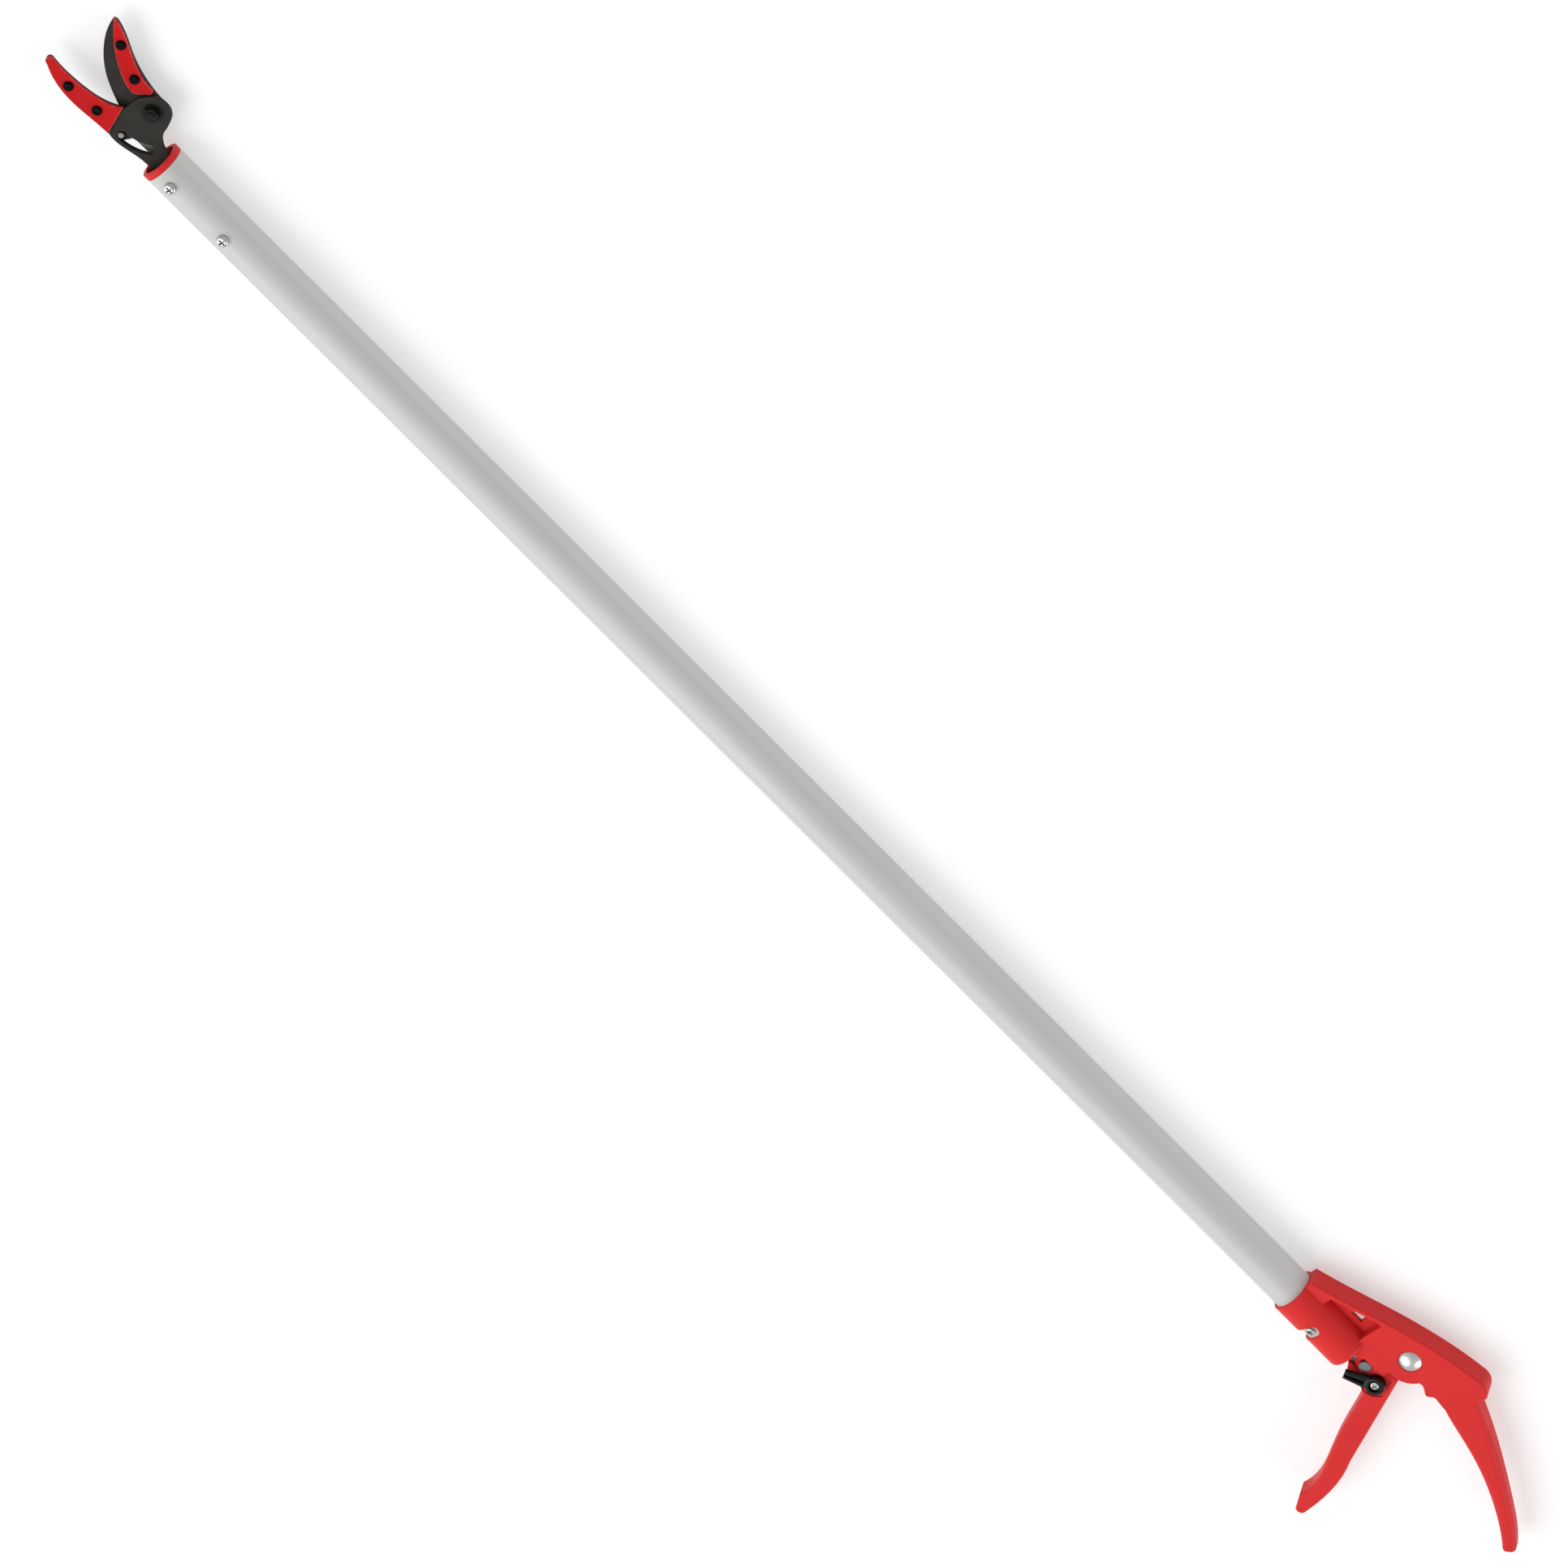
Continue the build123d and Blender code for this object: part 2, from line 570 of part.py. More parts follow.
def soften(shape, radius, limit_y=math.inf):
    """Round the rims of the shape's two flat sides, as far as their middles lie below limit_y."""
    levels = shape.edges().filter_by(Plane.XY).group_by(Axis.Z)
    rims = [edge for edge in levels[0] + levels[-1] if edge.center().Y < limit_y]
    return fillet(rims, radius)


def cheek_outline():
    """Flat side of the handle, without socket and rear grip."""
    back = Spline(*HANDLE_BACK)
    heel = ThreePointArc(HANDLE_BACK[-1], (-116.0, -47.8), (HEEL_X, -41.5))
    root = Line((HEEL_X, -41.5), (HEEL_X, -19.5))
    under = Spline((HEEL_X, -19.5), (-108.0, -20.4), (-101.0, -21.2))
    bump = Spline((-101.0, -21.2), (-98.6, -19.9), (-96.4, -18.0), (-93.6, -19.1), (-88.0, -20.7))
    pivot = Vector(TRIGGER_PIVOT_X, TRIGGER_PIVOT_Y)
    start_dir = (Vector(-88.0, -20.7) - pivot).normalized()
    arc_start = pivot + start_dir * LOWER_ARC_R
    arc_end = (-71.7, TRIGGER_PIVOT_Y + math.sqrt(LOWER_ARC_R**2 - 1.3**2))
    arc_middle = pivot + Vector(-math.sin(math.radians(35)), math.cos(math.radians(35))) * LOWER_ARC_R
    lip = Line((-88.0, -20.7), arc_start)
    arc = ThreePointArc(arc_start, arc_middle, arc_end)
    stop_corners = [(-71.7, -6.0), (-56.5, -6.0), (-54.5, -3.0), (-48.0, -1.0), (0.4, 0.0)]
    stop = Polyline(arc_end, *stop_corners, HANDLE_BACK[0])
    return outline(back, heel, root, under, bump, lip, arc, stop)


def heel_limit():
    """Bar along y with rounded corners, so that the heel is round as seen from the back."""
    length = 150.0
    plan = Pos(HEEL_X + length / 2, 0) * RectangleRounded(length, 2 * CHEEK_HALF, HEEL_ROUND)
    return extrude(Plane.XZ * plan, amount=length, both=True)


def grip():
    """Rear grip lofted through rounded sections that shrink towards its end."""
    sections = []
    for x, y, slope, half_height, half_width, corner in GRIP_STATIONS:
        direction = Vector(-math.cos(math.radians(slope)), math.sin(math.radians(slope)), 0)
        place = Plane(origin=(x, y, 0), x_dir=(0, 0, 1), z_dir=direction)
        sections.append(place * RectangleRounded(2 * half_width, 2 * half_height, corner))
    body = loft(sections)
    return fillet(body.faces().sort_by(Axis.X)[0].edges(), GRIP_END_ROUND)


def handle_body():
    cheek = prism(cheek_outline(), -CHEEK_HALF, CHEEK_HALF)
    cheek = soften(cheek, SPINE_ROUND, SPINE_LIMIT_Y)
    cheek &= heel_limit()
    pocket = prism(Polygon(*POCKET, align=None), POCKET_FLOOR, CHEEK_HALF)
    cheek -= pocket
    cheek -= mirror(pocket, about=Plane.XY)
    cheek -= prism(Polygon(*WINDOW, align=None), -CHEEK_HALF, CHEEK_HALF)
    socket = bar(SOCKET_R, -SOCKET_LENGTH, 0)
    socket = fillet(socket.edges().group_by(Axis.X)[0], SOCKET_ROUND)
    body = cheek + socket + grip()
    body -= bar(TUBE_R + RUNNING_FIT, -TUBE_IN_SOCKET - 0.1, 2)
    body -= bar(SOCKET_END_BORE_R, -SOCKET_LENGTH - 6, -TUBE_IN_SOCKET)
    body -= trigger_cavity()
    body -= socket_notch()
    body -= disc(TRIGGER_PIN_R + RUNNING_FIT, -CHEEK_HALF, CHEEK_HALF, TRIGGER_PIVOT_X, TRIGGER_PIVOT_Y)
    seat_low = CHEEK_HALF - DOME_SEAT
    seat = disc(DOME_R + DOME_SEAT_GAP, seat_low, CHEEK_HALF, TRIGGER_PIVOT_X, TRIGGER_PIVOT_Y)
    body -= seat
    body -= mirror(seat, about=Plane.XY)
    return body


def trigger_cavity():
    """Room between the cheeks for the trigger's head over its whole swing."""
    hub_room = Pos(TRIGGER_PIVOT_X, TRIGGER_PIVOT_Y) * Circle(TRIGGER_HUB_R + TRIGGER_HUB_GAP)
    inner = [(-63.4, -28.0), (-82.2, -31.8), (-100.0, -18.0)]
    outer = [(-100.0, 16.0), (-50.0, 16.0), (-50.0, -8.0), (-54.0, -8.0)]
    return prism(hub_room + Polygon(*inner, *outer, align=None), -CHEEK_SLOT_HALF, CHEEK_SLOT_HALF)


def socket_notch():
    """U-shaped opening in the socket wall around its screw."""
    radius = 4.2
    reach = 40.0
    face = Circle(radius) + Pos(0, reach / 2) * Rectangle(2 * radius, reach)
    cut = prism(face, TUBE_R * 0.3, 2 * SOCKET_R)
    return Pos(SOCKET_SCREW_X - 0.8, 0, 0) * Rot(-20, 0, 0) * Pos(0, -2.6, 0) * cut


def trigger_pin():
    """Pivot pin of the trigger with a polished domed head."""
    base = CHEEK_HALF - DOME_SEAT
    sphere_r = (DOME_R**2 + DOME_H**2) / (2 * DOME_H)
    ball = Pos(0, 0, base + DOME_H - sphere_r) * Sphere(sphere_r)
    dome = ball & disc(DOME_R + 1, base, base + DOME_H + 1)
    shaft = disc(TRIGGER_PIN_R, -CHEEK_HALF + DOME_SEAT + CAP_BOSS_H, base)
    return Pos(TRIGGER_PIVOT_X, TRIGGER_PIVOT_Y) * (dome + shaft)


def trigger_pin_cap():
    """Push-on cap that keeps the pivot pin from sliding out."""
    low = -CHEEK_HALF + DOME_SEAT
    cap = disc(CAP_R, low - CAP_H, low)
    cap = fillet(cap.edges().group_by(Axis.Z)[0], CAP_ROUND)
    boss = disc(TRIGGER_PIN_R, low, low + CAP_BOSS_H)
    return Pos(TRIGGER_PIVOT_X, TRIGGER_PIVOT_Y) * (cap + boss)


# --- Trigger, lock and their pins ---


def trigger_lever_outline():
    """Wide part of the trigger, below the cheeks."""
    pivot = Vector(TRIGGER_PIVOT_X, TRIGGER_PIVOT_Y)
    back_dir = Vector(-0.394, 0.919).normalized()
    back_top = pivot + back_dir * TRIGGER_TOP_R
    back_low = pivot + back_dir * 86.0
    top_left = (-72.1, TRIGGER_PIVOT_Y + math.sqrt(TRIGGER_TOP_R**2 - 0.9**2))
    top_middle = pivot + Vector(-math.sin(math.radians(12)), math.cos(math.radians(12))) * TRIGGER_TOP_R
    back = Line(back_top, back_low)
    palm = Spline(back_low, (-114.7, 71.0), (-117.6, 85.0), (-118.8, 98.5))
    toe = ThreePointArc((-118.8, 98.5), (-117.0, 102.2), (-113.4, 102.0))
    slant = Line((-113.4, 102.0), (-107.2, 92.8))
    finger_points = [(-105.6, 78.0), (-98.9, 64.0), (-88.8, 45.0), (-80.3, 25.5), (-75.4, 14.6)]
    fingers = Spline((-107.2, 92.8), *finger_points)
    throat = Spline((-75.4, 14.6), (-72.0, 11.4), (-66.5, 9.0), (-62.2, 3.0))
    front = Polyline((-62.2, 3.0), (-62.2, -5.5), (-72.1, -5.5), top_left)
    top = ThreePointArc(top_left, top_middle, back_top)
    return outline(back, palm, toe, slant, fingers, throat, front, top)


def trigger_head_outline():
    """Narrow part of the trigger that goes up between the cheeks."""
    hub = (Pos(TRIGGER_PIVOT_X, TRIGGER_PIVOT_Y) * Circle(TRIGGER_HUB_R)).edge()
    eye = (Pos(ROD_PIN_X, ROD_PIN_Y) * Circle(TRIGGER_EYE_R)).edge()
    heel = (Pos(-77.0, -6.0) * Circle(3.0)).edge()
    nose = [(-53.8, 5.2), (-57.5, 9.6), (-68.0, 10.6), (-78.0, 4.0), (-74.0, -8.0), (-61.0, 4.6)]
    return make_hull([hub, eye, heel]) + Polygon(*nose, align=None)


def trigger_lever():
    wide = prism(trigger_lever_outline(), -TRIGGER_HALF, TRIGGER_HALF)
    wide = soften(wide, TRIGGER_ROUND)
    head = prism(trigger_head_outline(), -TRIGGER_HEAD_HALF, TRIGGER_HEAD_HALF)
    body = wide + head
    fork = Pos(ROD_PIN_X, ROD_PIN_Y) * Circle(FORK_R)
    fork += Pos(ROD_PIN_X + 10, ROD_PIN_Y - 4) * Rectangle(20, 28)
    body -= prism(fork, -FORK_HALF, FORK_HALF)
    body -= disc(TRIGGER_PIN_R + RUNNING_FIT, -TUBE_R, TUBE_R, TRIGGER_PIVOT_X, TRIGGER_PIVOT_Y)
    body -= disc(ROD_PIN_R, -TUBE_R, TUBE_R, ROD_PIN_X, ROD_PIN_Y)
    body -= rod_pin_reliefs()
    body -= lock_seat()
    body -= disc(LOCK_SCREW_SHANK_R, 0, TUBE_R, LOCK_X, LOCK_Y)
    return body


def rod_pin_reliefs():
    """Clearance in the wide part for the rod pin's two heads."""
    radius = ROD_PIN_HEAD_R + ROD_PIN_RELIEF_GAP
    relief = disc(radius, TRIGGER_HEAD_HALF, TUBE_R, ROD_PIN_X, ROD_PIN_Y)
    return relief + mirror(relief, about=Plane.XY)


def lock_seat():
    """Shallow seat in the trigger's side under the lock lever."""
    face = Pos(LOCK_X, LOCK_Y) * Circle(LOCK_BOSS_R + LOCK_SEAT_RIM)
    corners = [(-76.2, -11.5), (-84.0, 8.0), (-84.0, 30.0), (-40.0, 30.0), (-40.0, -11.5)]
    face &= Polygon(*corners, align=None)
    return prism(face, TRIGGER_HALF - LOCK_SEAT_DEPTH, TUBE_R)


def rod_pin():
    """Pin that joins the rod to the trigger, with a flat head on the visible side."""
    head = disc(ROD_PIN_HEAD_R, TRIGGER_HEAD_HALF, CHEEK_HALF - 0.3)
    head = chamfer(head.edges().group_by(Axis.Z)[-1], 0.3)
    shaft = disc(ROD_PIN_R, -TRIGGER_HEAD_HALF - CLIP_H - CLIP_TAIL, TRIGGER_HEAD_HALF)
    return Pos(ROD_PIN_X, ROD_PIN_Y) * (head + shaft)


def rod_pin_clip():
    """Ring that keeps the rod pin in place on the hidden side."""
    high = -TRIGGER_HEAD_HALF
    low = high - CLIP_H
    return Pos(ROD_PIN_X, ROD_PIN_Y) * (disc(CLIP_R, low, high) - disc(ROD_PIN_R, low, high))


def lock_lever():
    """Thumb lever: a round boss and a tapered arm with a groove along it."""
    boss = disc(LOCK_BOSS_R, TRIGGER_HALF - LOCK_SEAT_DEPTH + LOCK_SEAT_GAP, LOCK_TOP)
    boss = fillet(boss.edges().group_by(Axis.Z)[-1], LOCK_BOSS_ROUND)
    arm_top = LOCK_TOP - LOCK_ARM_DROP
    arm_face = Polygon((0, -4.9), (LOCK_REACH, -2.9), (LOCK_REACH, 2.9), (0, 4.9), align=None)
    arm = prism(arm_face, CHEEK_HALF + LOCK_ARM_GAP, arm_top)
    arm = chamfer(arm.faces().sort_by(Axis.Z)[-1].edges(), LOCK_ARM_BEVEL)
    groove_end = LOCK_REACH + 1
    groove = Polygon((6.6, -1.5), (groove_end, -0.6), (groove_end, 0.6), (6.6, 1.5), align=None)
    arm -= prism(groove, arm_top - LOCK_GROOVE_DEPTH, arm_top)
    lever = boss + arm
    lever -= disc(LOCK_WELL_R, LOCK_FLOOR, LOCK_TOP)
    lever -= disc(LOCK_SCREW_SHANK_R + RUNNING_FIT, 0, LOCK_TOP)
    return Pos(LOCK_X, LOCK_Y) * Rot(0, 0, LOCK_ANGLE) * lever


def lock_screw():
    screw = pan_screw(LOCK_SCREW_HEAD_R, LOCK_SCREW_HEAD_H, LOCK_SCREW_SHANK_R, LOCK_SCREW_LENGTH)
    return Pos(LOCK_X, LOCK_Y, LOCK_FLOOR) * screw


PARTS = {
    "tube": tube,
    "end_collar": end_collar,
    "tang_plug": tang_plug,
    "tube_screws": tube_screws,
    "jaw_body": jaw_body,
    "lower_grip_plate": lower_grip_plate,
    "lower_plate_screws": lambda: plate_screws(LOWER_SCREWS, BODY_FRONT + GRIP_PLATE, BODY_BACK),
    "blade": blade,
    "upper_grip_plate": upper_grip_plate,
    "upper_plate_screws": lambda: plate_screws(UPPER_SCREWS, BLADE_FRONT + GRIP_PLATE, BLADE_BACK),
    "pivot_bolt": pivot_bolt,
    "pivot_nut": pivot_nut,
    "tail_pin": tail_pin,
    "blade_link": blade_link,
    "link_rivet": link_rivet,
    "pull_rod": pull_rod,
    "spring_collar": spring_collar,
    "return_spring": return_spring,
    "rear_bush": rear_bush,
    "handle_body": handle_body,
    "socket_screw": socket_screw,
    "trigger_pin": trigger_pin,
    "trigger_pin_cap": trigger_pin_cap,
    "trigger_lever": trigger_lever,
    "rod_pin": rod_pin,
    "rod_pin_clip": rod_pin_clip,
    "lock_lever": lock_lever,
    "lock_screw": lock_screw,
}


def as_node(made):
    """One shape for a node: a single solid, or a group of separate ones."""
    shapes = made if isinstance(made, list) else [made]
    solids = [solid for shape in shapes for solid in shape.solids()]
    return solids[0] if len(solids) == 1 else Compound(solids)


def base_shift(nodes):
    """Shift that puts the origin under the middle of the whole tool."""
    box = Compound(list(nodes.values())).bounding_box()
    return Pos(-(box.min.X + box.max.X) / 2, -(box.min.Y + box.max.Y) / 2, -box.min.Z)


def main():
    os.makedirs("parts", exist_ok=True)
    nodes = {name: as_node(make()) for name, make in PARTS.items()}
    shift = base_shift(nodes)
    print("shift of the tube frame, mm:", [round(value, 4) for value in shift.position])
    for name, node in nodes.items():
        print(name, len(node.solids()), "solids", round(node.volume, 1), "mm3", node.is_valid)
        export_step(shift * node, f"parts/{name}.step")


main()
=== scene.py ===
import bpy
import json
import math
from mathutils import Matrix, Vector


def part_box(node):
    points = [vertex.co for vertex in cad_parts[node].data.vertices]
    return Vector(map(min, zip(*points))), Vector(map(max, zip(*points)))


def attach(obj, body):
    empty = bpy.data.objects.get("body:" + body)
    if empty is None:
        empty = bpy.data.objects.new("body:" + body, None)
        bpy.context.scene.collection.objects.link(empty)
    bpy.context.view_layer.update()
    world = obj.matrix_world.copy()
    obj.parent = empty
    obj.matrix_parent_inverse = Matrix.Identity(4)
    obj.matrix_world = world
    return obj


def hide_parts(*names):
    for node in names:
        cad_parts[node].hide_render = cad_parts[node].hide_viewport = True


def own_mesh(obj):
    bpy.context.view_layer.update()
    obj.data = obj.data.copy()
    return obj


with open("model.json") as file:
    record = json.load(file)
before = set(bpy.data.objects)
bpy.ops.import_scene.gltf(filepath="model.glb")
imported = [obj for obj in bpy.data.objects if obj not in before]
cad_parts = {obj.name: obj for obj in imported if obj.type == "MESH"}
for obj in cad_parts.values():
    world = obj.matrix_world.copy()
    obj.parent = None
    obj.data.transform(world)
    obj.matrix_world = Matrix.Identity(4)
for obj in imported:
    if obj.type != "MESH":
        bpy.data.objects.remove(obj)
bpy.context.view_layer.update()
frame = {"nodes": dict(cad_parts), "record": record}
NODES = frame["nodes"]

MM = 0.001

BEVEL_SAMPLES = 6
CREVICE_SAMPLES = 8
SHARP_EDGE_DEG = 32


# --- Shader building blocks ---


class Shader:
    """A material's node tree with short calls for the nodes used here."""

    def __init__(self, name):
        self.material = bpy.data.materials.new(name)
        self.material.use_nodes = True
        self.tree = self.material.node_tree
        self.surface = self.tree.nodes["Principled BSDF"]
        self.place = self.node("ShaderNodeTexCoord").outputs["Object"]

    def node(self, kind, **settings):
        """New node of a kind, with its properties set."""
        made = self.tree.nodes.new(kind)
        for key, value in settings.items():
            setattr(made, key, value)
        return made

    def link(self, source, target):
        self.tree.links.new(source, target)

    def stretched(self, scale):
        """Object coordinates scaled along each axis."""
        mapping = self.node("ShaderNodeMapping")
        mapping.inputs["Scale"].default_value = scale
        self.link(self.place, mapping.inputs["Vector"])
        return mapping.outputs["Vector"]

    def noise(self, size_mm, detail, rough=0.55, stretch=(1, 1, 1)):
        """Noise with features about size_mm across, longer along an axis with a small stretch."""
        made = self.node("ShaderNodeTexNoise")
        made.inputs["Scale"].default_value = 1 / (size_mm * MM)
        made.inputs["Detail"].default_value = detail
        made.inputs["Roughness"].default_value = rough
        self.link(self.stretched(stretch), made.inputs["Vector"])
        return made.outputs["Fac"]

    def ramp(self, value, low, high, to_low=0.0, to_high=1.0):
        """Maps low..high of a value to to_low..to_high, clamped."""
        made = self.node("ShaderNodeMapRange")
        for key, number in zip(("From Min", "From Max", "To Min", "To Max"), (low, high, to_low, to_high)):
            made.inputs[key].default_value = number
        self.link(value, made.inputs["Value"])
        return made.outputs["Result"]

    def patches(self, size_mm, detail, rough, to_low=0.0, to_high=1.0, stretch=(1, 1, 1)):
        """Soft cloudy variation over the middle of the noise's range."""
        return self.ramp(self.noise(size_mm, detail, rough, stretch), 0.3, 0.7, to_low, to_high)

    def combine(self, operation, first, second):
        """Two values combined by a math node; the second is a socket or a number."""
        made = self.node("ShaderNodeMath", operation=operation)
        self.link(first, made.inputs[0])
        if isinstance(second, (int, float)):
            made.inputs[1].default_value = second
        else:
            self.link(second, made.inputs[1])
        return made.outputs[0]

    def times(self, first, second):
        return self.combine("MULTIPLY", first, second)

    def plus(self, first, second):
        return self.combine("ADD", first, second)

    def mix(self, amount, first, second):
        """Colour mixed from first to second, each a colour or a socket."""
        made = self.node("ShaderNodeMix", data_type="RGBA")
        self.link(amount, made.inputs["Factor"])
        for key, colour in (("A", first), ("B", second)):
            socket = [s for s in made.inputs if s.name == key and s.type == "RGBA"][0]
            if isinstance(colour, (tuple, list)):
                socket.default_value = (*colour, 1.0)
            else:
                self.link(colour, socket)
        return [s for s in made.outputs if s.type == "RGBA"][0]

    def rounded_normal(self, radius_mm):
        """Surface normal as if every edge had a small radius."""
        made = self.node("ShaderNodeBevel", samples=BEVEL_SAMPLES)
        made.inputs["Radius"].default_value = radius_mm * MM
        return made.outputs["Normal"]

    def edge_wear_and_highlight(self, width_mm, strength):
        """High along sharp outer edges, broken up by noise."""
        rounded = self.rounded_normal(width_mm)
        geometry = self.node("ShaderNodeNewGeometry")
        dot = self.node("ShaderNodeVectorMath", operation="DOT_PRODUCT")
        self.link(rounded, dot.inputs[0])
        self.link(geometry.outputs["Normal"], dot.inputs[1])
        edge = self.ramp(dot.outputs["Value"], 0.99, 0.80)
        broken = self.ramp(self.noise(2.5, 6.0, 0.7), 0.38, 0.66)
        return self.times(self.times(edge, broken), strength)

    def recess_shade_mask(self, reach_mm, amount):
        """High inside grooves and recesses, where painted shade darkens them."""
        made = self.node("ShaderNodeAmbientOcclusion", samples=CREVICE_SAMPLES, only_local=True)
        made.inputs["Distance"].default_value = reach_mm * MM
        return self.ramp(made.outputs["AO"], 0.80, 0.35, 0.0, amount)

    def bump(self, height, depth_mm, soft_edge_mm=0.0):
        """Normal from a height map, with edges that look rounded."""
        made = self.node("ShaderNodeBump")
        made.inputs["Strength"].default_value = 1.0
        made.inputs["Distance"].default_value = depth_mm * MM
        self.link(height, made.inputs["Height"])
        if soft_edge_mm:
            self.link(self.rounded_normal(soft_edge_mm), made.inputs["Normal"])
        self.link(made.outputs["Normal"], self.surface.inputs["Normal"])

    def set(self, **values):
        """Constants on the surface shader, by socket name with _ for a space."""
        for key, value in values.items():
            self.surface.inputs[key.replace("_", " ")].default_value = value

    def colour(self, socket):
        self.link(socket, self.surface.inputs["Base Color"])

    def roughness(self, socket):
        self.link(socket, self.surface.inputs["Roughness"])


# --- Materials ---

# Bare steel on rubbed edges, also used as a painted glint around the black screws' cross recesses.
BARE_EDGE_AND_GLINT = (0.16, 0.155, 0.15)
# Painted shade colour for recesses in bright metal.
RECESS_SHADE_COLOUR = (0.03, 0.03, 0.03)


def shade(colour, factor, lift=0.0):
    """Colour made darker or lighter by a factor, and lifted towards white."""
    return tuple(min(1.0, factor * channel + lift) for channel in colour)


def moulded_plastic(name, colour, rough, grain_mm=0.35, grain_depth=0.012, edge=0.35, spec=0.4, edge_highlight=None):
    """Injection-moulded plastic: faint flow marks, fine spark-eroded grain, painted shade in recesses, and
    lighter edges from rubbed wear, with a painted highlight where a highlight colour is given.
    """
    s = Shader(name)
    flow = s.ramp(s.noise(38, 3.0, 0.5, (0.5, 1, 1)), 0.32, 0.68)
    body = s.mix(flow, shade(colour, 0.88), colour)
    # Painted shade: the red darkened inside recesses and creases.
    body = s.mix(s.recess_shade_mask(1.2, 0.5), body, shade(colour, 0.45))
    # Lighter edges: rubbed wear, and on the jaw plates a painted highlight along the edges.
    body = s.mix(s.edge_wear_and_highlight(0.7, edge), body, edge_highlight or shade(colour, 0.90, 0.06))
    speck = s.ramp(s.noise(0.9, 2.0), 0.62, 0.74, 0.0, 0.35)
    s.colour(s.mix(speck, body, shade(colour, 1.14, 0.004)))
    s.roughness(s.plus(s.patches(9, 5.0, 0.6, -0.05, 0.06), rough))
    s.bump(s.noise(grain_mm, 3.0, 0.6), grain_depth, 0.35)
    s.set(Specular_IOR_Level=spec)
    return s.material


def satin_aluminium(name):
    """Anodised tube: drawn lines along it, slight cloudiness, a few handling scratches."""
    s = Shader(name)
    lines = s.noise(0.28, 3.0, 0.7, (0.012, 1, 1))
    cloud = s.patches(45, 4.0, 0.6, stretch=(0.35, 1, 1))
    base = s.mix(cloud, (0.54, 0.536, 0.526), (0.575, 0.571, 0.561))
    base = s.mix(s.ramp(lines, 0.35, 0.65, 0.0, 0.5), base, (0.62, 0.617, 0.607))
    scratch = s.ramp(s.noise(3.0, 8.0, 0.85, (0.06, 1.0, 1.0)), 0.66, 0.70, 0.0, 0.30)
    s.colour(s.mix(scratch, base, (0.42, 0.418, 0.41)))
    s.roughness(s.plus(s.ramp(lines, 0.3, 0.7, -0.05, 0.07), 0.52))
    s.bump(lines, 0.004)
    s.set(Metallic=0.25, Anisotropic=0.3, Specular_IOR_Level=0.2)
    return s.material


def coated_steel(name, colour, rough, wear_and_glint, spec):
    """Dark coating: fine orange-peel grain, light flecks, painted shade in recesses, and bare rubbed edges
    that on the black screws are a painted glint.
    """
    s = Shader(name)
    base = s.mix(s.patches(14, 5.0, 0.6), shade(colour, 0.85), shade(colour, 1.15))
    fleck = s.ramp(s.noise(0.22, 1.0), 0.60, 0.72, 0.0, 0.55)
    base = s.mix(fleck, base, shade(colour, 1.9))
    # Painted shade: the coating darkened inside recesses.
    base = s.mix(s.recess_shade_mask(0.8, 0.9), base, shade(colour, 0.2))
    # Lighter edges: bare rubbed steel, and on the black screws a painted glint around the cross.
    s.colour(s.mix(s.edge_wear_and_highlight(0.35, wear_and_glint), base, BARE_EDGE_AND_GLINT))
    s.roughness(s.plus(s.patches(5, 5.0, 0.7, -0.07, 0.07), rough))
    s.bump(s.noise(0.25, 2.0, 0.6), 0.018, 0.2)
    s.set(Specular_IOR_Level=spec)
    return s.material


def bright_metal(name, colour, rough, marks_mm=0.12, stretch=(1, 1, 1)):
    """Plated or turned metal with fine tool marks, dull spots and painted shade in recesses."""
    s = Shader(name)
    marks = s.noise(marks_mm, 3.0, 0.6, stretch)
    dull = s.ramp(s.noise(4.0, 6.0, 0.7), 0.42, 0.66)
    base = s.mix(dull, colour, shade(colour, 0.78))
    # Painted shade: near black inside recesses such as the screws' crosses.
    s.colour(s.mix(s.recess_shade_mask(0.8, 0.95), base, RECESS_SHADE_COLOUR))
    s.roughness(s.plus(s.times(dull, 0.12), rough))
    s.bump(marks, 0.004, 0.12)
    s.set(Metallic=1.0)
    return s.material


HANDLE_RED = (0.66, 0.026, 0.026)
JAW_RED = (0.53, 0.006, 0.008)
# Painted highlight colour along the jaw plates' edges.
JAW_RED_EDGE_HIGHLIGHT = (0.72, 0.22, 0.21)
NYLON_GREY = (0.05, 0.05, 0.05)
LOCK_BLACK = (0.004, 0.004, 0.0045)
JAW_COATING = (0.026, 0.024, 0.021)
BLADE_COATING = (0.025, 0.022, 0.020)
SCREW_BLACK = (0.002, 0.002, 0.002)
NUT_BLACK = (0.007, 0.0065, 0.006)
DRAWN_LINK = (0.05, 1, 1)
DRAWN_ROD = (0.02, 1, 1)

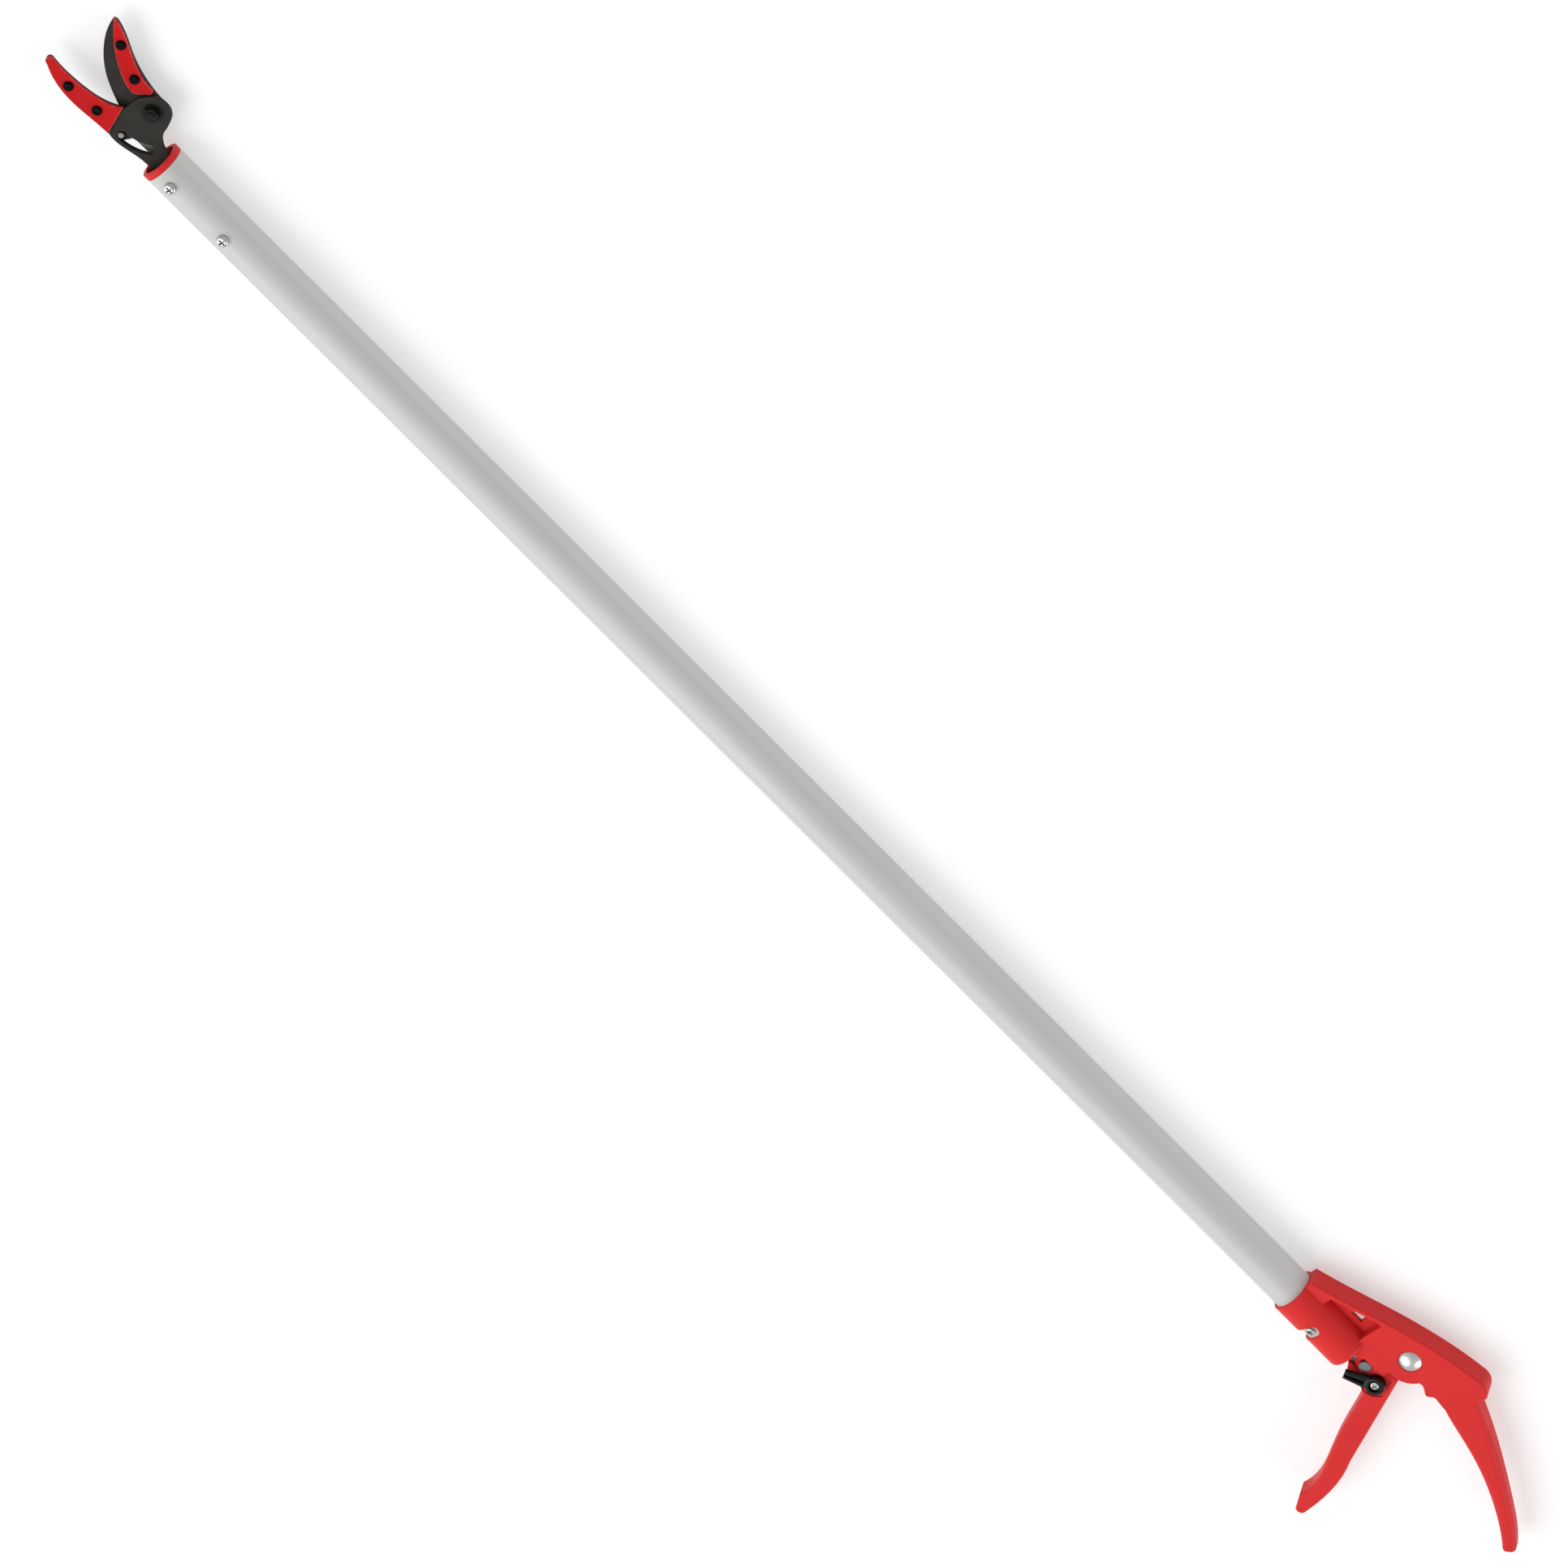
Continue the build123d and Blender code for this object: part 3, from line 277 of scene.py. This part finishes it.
FINISHES = {
    "tube_aluminium": (satin_aluminium, {}),
    "red_nylon": (moulded_plastic, dict(colour=HANDLE_RED, rough=0.45, spec=0.12)),
    "jaw_red": (
        moulded_plastic,
        dict(
            colour=JAW_RED,
            rough=0.58,
            grain_mm=0.25,
            grain_depth=0.010,
            edge=1.6,
            spec=0.10,
            edge_highlight=JAW_RED_EDGE_HIGHLIGHT,
        ),
    ),
    "inner_nylon": (moulded_plastic, dict(colour=NYLON_GREY, rough=0.55)),
    "lock_black": (
        moulded_plastic,
        dict(colour=LOCK_BLACK, rough=0.18, grain_mm=0.6, grain_depth=0.004, edge=0.1, spec=0.3),
    ),
    "coated_steel": (coated_steel, dict(colour=JAW_COATING, rough=0.55, wear_and_glint=0.4, spec=0.10)),
    "blade_steel": (coated_steel, dict(colour=BLADE_COATING, rough=0.50, wear_and_glint=0.4, spec=0.10)),
    # The strong edge colour here paints glints around the screws' cross recesses.
    "black_screw": (coated_steel, dict(colour=SCREW_BLACK, rough=0.25, wear_and_glint=0.9, spec=0.03)),
    "pivot_black": (coated_steel, dict(colour=NUT_BLACK, rough=0.38, wear_and_glint=0.35, spec=0.12)),
    "zinc_steel": (bright_metal, dict(colour=(0.55, 0.55, 0.54), rough=0.26)),
    "chrome_pin": (bright_metal, dict(colour=(0.72, 0.72, 0.72), rough=0.34)),
    "pin_steel": (bright_metal, dict(colour=(0.20, 0.20, 0.197), rough=0.32)),
    "link_steel": (
        bright_metal,
        dict(colour=(0.55, 0.55, 0.545), rough=0.34, marks_mm=0.3, stretch=DRAWN_LINK),
    ),
    "rod_steel": (
        bright_metal,
        dict(colour=(0.50, 0.50, 0.50), rough=0.34, marks_mm=0.3, stretch=DRAWN_ROD),
    ),
    "spring_steel": (bright_metal, dict(colour=(0.38, 0.38, 0.385), rough=0.30)),
}
MATERIALS = {slot: make(slot, **settings) for slot, (make, settings) in FINISHES.items()}


def dress_cad_nodes():
    """Every CAD node takes the finish of its material slot."""
    for subpart in frame["record"]["subparts"]:
        node = NODES[subpart["node"]]
        node.data.materials.clear()
        node.data.materials.append(MATERIALS[subpart["material_slot"]])
        for face in node.data.polygons:
            face.use_smooth = True
        node.data.set_sharp_from_angle(angle=math.radians(SHARP_EDGE_DEG))


# --- Return spring ---

COIL_WIRE_R = 0.6 * MM
COIL_PITCH = 5.0 * MM
COIL_STEPS_PER_TURN = 40
COIL_SIDES = 12


def coil_points(start, length, mean_r, steps):
    """Rings of points around a coil's wire, one ring for each step along it."""
    points = []
    for step in range(steps + 1):
        turn = 2 * math.pi * step / COIL_STEPS_PER_TURN
        outward = Vector((0, math.sin(turn), -math.cos(turn)))
        along = Vector((COIL_PITCH / (2 * math.pi), mean_r * math.cos(turn), mean_r * math.sin(turn)))
        across = along.normalized().cross(outward)
        centre = start + Vector((length * step / steps, 0, 0)) + outward * mean_r
        for side in range(COIL_SIDES):
            angle = 2 * math.pi * side / COIL_SIDES
            points.append(centre + COIL_WIRE_R * (math.cos(angle) * outward + math.sin(angle) * across))
    return points


def coil_faces(steps):
    """The wire's two end caps, and then the strips between its rings."""
    faces = [tuple(range(COIL_SIDES))[::-1], tuple(range(steps * COIL_SIDES, (steps + 1) * COIL_SIDES))]
    for step in range(steps):
        first = step * COIL_SIDES
        for side in range(COIL_SIDES):
            after = (side + 1) % COIL_SIDES
            faces.append((first + side, first + after, first + after + COIL_SIDES, first + side + COIL_SIDES))
    return faces


def return_coil():
    """Coil in the CAD spring's place, which it hides, carried with the body."""
    low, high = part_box("return_spring")
    mean_r = (high.y - low.y) / 2 - COIL_WIRE_R
    length = high.x - low.x - 2 * COIL_WIRE_R
    steps = round(length / COIL_PITCH * COIL_STEPS_PER_TURN)
    start = Vector((low.x + COIL_WIRE_R, (low.y + high.y) / 2, (low.z + high.z) / 2))
    mesh = bpy.data.meshes.new("return_coil")
    mesh.from_pydata(coil_points(start, length, mean_r, steps), [], coil_faces(steps))
    mesh.materials.append(MATERIALS["spring_steel"])
    for face in mesh.polygons[2:]:
        face.use_smooth = True
    coil = bpy.data.objects.new("return_coil", mesh)
    bpy.context.scene.collection.objects.link(coil)
    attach(coil, "body")
    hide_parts("return_spring")
    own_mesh(coil)


# --- Stage: floor, light and camera ---

TUBE_LOW, TUBE_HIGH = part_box("tube")
AXIS_Y = (TUBE_LOW.y + TUBE_HIGH.y) / 2
AXIS_Z = (TUBE_LOW.z + TUBE_HIGH.z) / 2

WHITE = (1, 1, 1, 1)
FLOOR_HALF = 12.0
FLOOR_GLOW = 0.44
WORLD_STRENGTH = 0.56

VIEW_TURN = 16.9
VIEW_TILT = 34.0
VIEW_ROLL = 45.0 - 0.089
VIEW_DISTANCE = 8.15
VIEW_LENS = 334.1
VIEW_TARGET = Vector((0.0218, AXIS_Y + 0.0008, AXIS_Z))
SENSOR_WIDTH = 36.0
VIEW_END = 100.0


def floor():
    """Plain pale floor well beyond what the camera sees, glowing a little like a light table."""
    mesh = bpy.data.meshes.new("floor")
    sides = ((-1, -1), (1, -1), (1, 1), (-1, 1))
    corners = [(FLOOR_HALF * x, FLOOR_HALF * y, 0) for x, y in sides]
    mesh.from_pydata(corners, [], [(0, 1, 2, 3)])
    plane = bpy.data.objects.new("floor", mesh)
    bpy.context.scene.collection.objects.link(plane)
    s = Shader("floor_paper")
    soft = s.patches(180, 3.0, 0.55)
    s.colour(s.mix(soft, (0.54, 0.54, 0.54), (0.56, 0.56, 0.56)))
    s.roughness(s.plus(s.times(soft, 0.04), 0.9))
    s.set(Specular_IOR_Level=0.1, Emission_Color=WHITE, Emission_Strength=FLOOR_GLOW)
    mesh.materials.append(s.material)


def sun(name, direction, strength, softness):
    """Very soft parallel light that comes from a direction, as wide as softness in degrees."""
    lamp = bpy.data.lights.new(name, "SUN")
    lamp.energy = strength
    lamp.angle = math.radians(softness)
    item = bpy.data.objects.new(name, lamp)
    item.rotation_euler = Vector(direction).to_track_quat("Z", "Y").to_euler()
    bpy.context.scene.collection.objects.link(item)


def studio():
    """Soft key light from above the trigger's side and a fill behind the handle, in an even world."""
    world = bpy.data.worlds.new("studio")
    world.use_nodes = True
    background = world.node_tree.nodes["Background"]
    background.inputs["Color"].default_value = WHITE
    background.inputs["Strength"].default_value = WORLD_STRENGTH
    bpy.context.scene.world = world
    sun("key", direction=(0.25, 0.65, 0.8), strength=1.85, softness=60)
    sun("fill", direction=(-1.0, -0.15, 0.35), strength=1.2, softness=40)
    bpy.context.scene.view_settings.view_transform = "Standard"


def camera():
    """Camera across the tube: turned towards the handle, tilted down and rolled by an eighth turn."""
    turn = math.radians(VIEW_TURN)
    tilt = math.radians(VIEW_TILT)
    level = Vector((-math.cos(turn), -math.sin(turn) * math.sin(tilt), math.sin(turn) * math.cos(tilt)))
    rise = Vector((0, -math.cos(tilt), -math.sin(tilt)))
    back = level.cross(rise)
    roll = math.radians(VIEW_ROLL)
    right = level * math.cos(roll) + rise * math.sin(roll)
    up = rise * math.cos(roll) - level * math.sin(roll)
    lens = bpy.data.cameras.new("camera")
    lens.lens = VIEW_LENS
    lens.sensor_width = SENSOR_WIDTH
    lens.clip_end = VIEW_END
    item = bpy.data.objects.new("camera", lens)
    turned = Matrix((right, up, back)).transposed().to_4x4()
    item.matrix_world = Matrix.Translation(VIEW_TARGET + back * VIEW_DISTANCE) @ turned
    bpy.context.scene.collection.objects.link(item)
    bpy.context.scene.camera = item


dress_cad_nodes()
return_coil()
floor()
studio()
camera()
